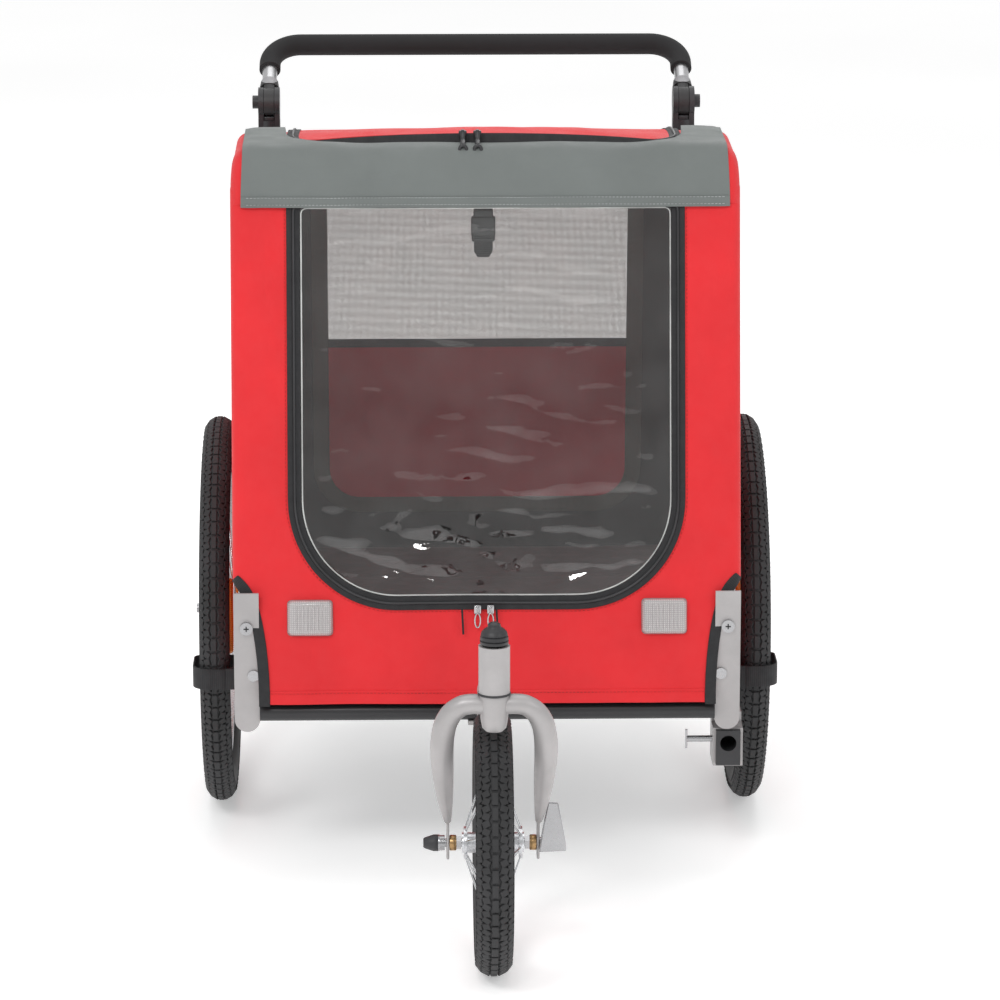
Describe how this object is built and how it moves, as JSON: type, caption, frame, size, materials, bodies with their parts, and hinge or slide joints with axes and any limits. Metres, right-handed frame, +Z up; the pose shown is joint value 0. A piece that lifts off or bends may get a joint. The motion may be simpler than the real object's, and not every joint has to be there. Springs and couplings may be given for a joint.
{
  "type": "child bicycle trailer",
  "caption": "Child bicycle trailer in stroller form: fabric cabin with a clear front door on a folding frame, spoked rear wheels, swivelling front wheel and tilting push handle.",
  "frame": {"origin": "on the ground under the middle of the whole object's box", "axes": "+X to the trailer's left as it faces the viewer, -Y towards the front wheel (the direction of travel), +Z up"},
  "size_m": [0.744, 1.3894, 0.9275],
  "materials": {
    "silver_steel": "silver powder coat, satin",
    "black_steel": "black powder coat",
    "brushed_tube": "anodised, satin",
    "zinc": "zinc plated",
    "chrome_metal": "polished",
    "spoke_steel": "stainless wire",
    "rim_alloy": "satin alloy",
    "black_plastic": "moulded, fine grain",
    "foam": "closed-cell foam, matte",
    "tyre_rubber": "block tread",
    "red_fabric": "coated polyester weave",
    "slate_fabric": "coated polyester weave",
    "grey_mat": "woven mat",
    "mesh_fabric": "open mesh over red cloth",
    "webbing": "ribbed webbing",
    "zip_black": "coil zip",
    "clear_vinyl": "clear soft sheet",
    "clear_lens": "prismatic clear lens"
  },
  "bodies": {
    "chassis": {"floor_rails": "silver_steel", "floor_crosses": "black_steel", "floor_mat": "grey_mat", "front_brackets": "silver_steel", "rear_brackets": "silver_steel", "frame_bolts": "zinc", "front_arm": "silver_steel", "head_tube": "silver_steel", "wheel_mounts": "silver_steel", "rear_axles": "zinc", "hitch_bracket": "silver_steel", "hitch_socket": "black_plastic", "handle_posts": "brushed_tube", "post_feet": "black_plastic", "handle_knuckles": "black_plastic", "side_skirts": "red_fabric", "front_panel": "red_fabric", "visor": "slate_fabric", "roof_panel": "red_fabric", "rear_panel": "red_fabric", "reflectors": "clear_lens", "tether_strap": "webbing", "parking_straps": "webbing"},
    "side_frame_left": {"side_tube_left": "silver_steel", "side_panel_left": "red_fabric"},
    "side_frame_right": {"side_tube_right": "silver_steel", "side_panel_right": "red_fabric"},
    "window_flap": {"front_window": "clear_vinyl"},
    "door_flap": {"rear_door": "mesh_fabric"},
    "hatch_flap": {"roof_hatch": "red_fabric"},
    "roof_slider_l": {"roof_slider_left": "zip_black"},
    "roof_slider_r": {"roof_slider_right": "zip_black"},
    "window_slider_l": {"window_slider_left": "chrome_metal"},
    "window_slider_r": {"window_slider_right": "chrome_metal"},
    "latch_l": {"frame_latch_left": "zinc"},
    "latch_r": {"frame_latch_right": "zinc"},
    "tow_pin": {"hitch_pin": "zinc"},
    "swivel_lock": {"swivel_cap": "black_plastic"},
    "caster": {"fork": "silver_steel", "front_axle": "zinc"},
    "front_release": {"qr_lever": "zinc"},
    "front_wheel": {"front_tyre": "tyre_rubber", "front_rim": "rim_alloy", "front_spokes": "spoke_steel", "front_hub": "rim_alloy"},
    "rear_wheel_left": {"rear_tyre_left": "tyre_rubber", "rear_rim_left": "rim_alloy", "rear_spokes_left": "spoke_steel", "rear_hub_left": "rim_alloy"},
    "rear_wheel_right": {"rear_tyre_right": "tyre_rubber", "rear_rim_right": "rim_alloy", "rear_spokes_right": "spoke_steel", "rear_hub_right": "rim_alloy"},
    "axle_button_l": {"release_button_left": "zinc"},
    "axle_button_r": {"release_button_right": "zinc"},
    "push_handle": {"handle_yokes": "black_plastic", "handle_bar": "brushed_tube", "handle_grip": "foam"},
    "tilt_button_l": {"handle_button_left": "black_plastic"},
    "tilt_button_r": {"handle_button_right": "black_plastic"}
  },
  "joints": [
    {"name": "frame_fold_left", "type": "hinge", "parent": "chassis", "child": "side_frame_left", "pos_m": [-0.295, 0.16025, 0.322], "axis": [0, 1, 0], "range_deg": [0, 95], "deforming": ["side_panel_left", "side_panel_right", "front_panel", "visor", "roof_panel", "rear_panel", "side_skirts", "tether_strap", "front_window", "rear_door", "roof_hatch", "roof_slider_left", "roof_slider_right", "window_slider_left", "window_slider_right", "reflectors"]},
    {"name": "frame_fold_right", "type": "hinge", "parent": "chassis", "child": "side_frame_right", "pos_m": [0.295, 0.16025, 0.322], "axis": [0, 1, 0], "range_deg": [-86, 0]},
    {"name": "window_lift", "type": "hinge", "parent": "chassis", "child": "window_flap", "pos_m": [0, -0.10095, 0.8275], "axis": [1, 0, 0], "range_deg": [-115, 0]},
    {"name": "rear_door_lift", "type": "hinge", "parent": "chassis", "child": "door_flap", "pos_m": [0, 0.49642, 0.765], "axis": [-1, 0, 0], "range_deg": [-105, 0]},
    {"name": "roof_hatch_lift", "type": "hinge", "parent": "chassis", "child": "hatch_flap", "pos_m": [0, 0.44325, 0.8167], "axis": [1, 0, 0], "range_deg": [-100, 0]},
    {"name": "roof_zip_left", "type": "slide", "parent": "chassis", "child": "roof_slider_l", "axis": [-1, 0, 0], "range_m": [0, 0.12]},
    {"name": "roof_zip_right", "type": "slide", "parent": "chassis", "child": "roof_slider_r", "axis": [1, 0, 0], "range_m": [0, 0.12]},
    {"name": "window_zip_left", "type": "slide", "parent": "chassis", "child": "window_slider_l", "axis": [-1, 0, 0], "range_m": [0, 0.08]},
    {"name": "window_zip_right", "type": "slide", "parent": "chassis", "child": "window_slider_r", "axis": [1, 0, 0], "range_m": [0, 0.08]},
    {"name": "latch_turn_left", "type": "hinge", "parent": "chassis", "child": "latch_l", "pos_m": [-0.287, -0.18975, 0.262], "axis": [0, 1, 0], "range_deg": [0, 70]},
    {"name": "latch_turn_right", "type": "hinge", "parent": "chassis", "child": "latch_r", "pos_m": [0.287, -0.18975, 0.262], "axis": [0, 1, 0], "range_deg": [-70, 0]},
    {"name": "tow_pin_slide", "type": "slide", "parent": "chassis", "child": "tow_pin", "axis": [1, 0, 0], "range_m": [0, 0.028]},
    {"name": "swivel_cap_pull", "type": "slide", "parent": "chassis", "child": "swivel_lock", "axis": [0, 0, 1], "range_m": [0, 0.009], "stiffness_N_per_m": 600, "springref_m": -0.002},
    {"name": "fork_swivel", "type": "hinge", "parent": "chassis", "child": "caster", "pos_m": [0, -0.61975, 0.387], "axis": [0, 0, 1], "continuous": true},
    {"name": "front_wheel_spin", "type": "hinge", "parent": "caster", "child": "front_wheel", "pos_m": [0, -0.53975, 0.155], "axis": [1, 0, 0], "continuous": true},
    {"name": "qr_lever_turn", "type": "hinge", "parent": "caster", "child": "front_release", "pos_m": [0.07, -0.53975, 0.155], "axis": [0, 1, 0], "range_deg": [0, 75]},
    {"name": "rear_wheel_spin_left", "type": "hinge", "parent": "chassis", "child": "rear_wheel_left", "pos_m": [-0.34, 0.16025, 0.25], "axis": [1, 0, 0], "continuous": true},
    {"name": "rear_wheel_spin_right", "type": "hinge", "parent": "chassis", "child": "rear_wheel_right", "pos_m": [0.34, 0.16025, 0.25], "axis": [1, 0, 0], "continuous": true},
    {"name": "axle_button_left", "type": "slide", "parent": "chassis", "child": "axle_button_l", "axis": [1, 0, 0], "range_m": [0, 0.0015], "stiffness_N_per_m": 400, "springref_m": -0.0005},
    {"name": "axle_button_right", "type": "slide", "parent": "chassis", "child": "axle_button_r", "axis": [-1, 0, 0], "range_m": [0, 0.0015], "stiffness_N_per_m": 400, "springref_m": -0.0005},
    {"name": "handle_tilt", "type": "hinge", "parent": "chassis", "child": "push_handle", "pos_m": [0, 0.57525, 0.85], "axis": [1, 0, 0], "range_deg": [-55, 55]},
    {"name": "tilt_button_left", "type": "slide", "parent": "chassis", "child": "tilt_button_l", "axis": [1, 0, 0], "range_m": [0, 0.005], "stiffness_N_per_m": 500, "springref_m": -0.001},
    {"name": "tilt_button_right", "type": "slide", "parent": "chassis", "child": "tilt_button_r", "axis": [-1, 0, 0], "range_m": [0, 0.005], "stiffness_N_per_m": 500, "springref_m": -0.001}
  ],
  "couplings": [
    {"joint": "frame_fold_right", "follows": "frame_fold_left", "ratio": -0.905}
  ]
}
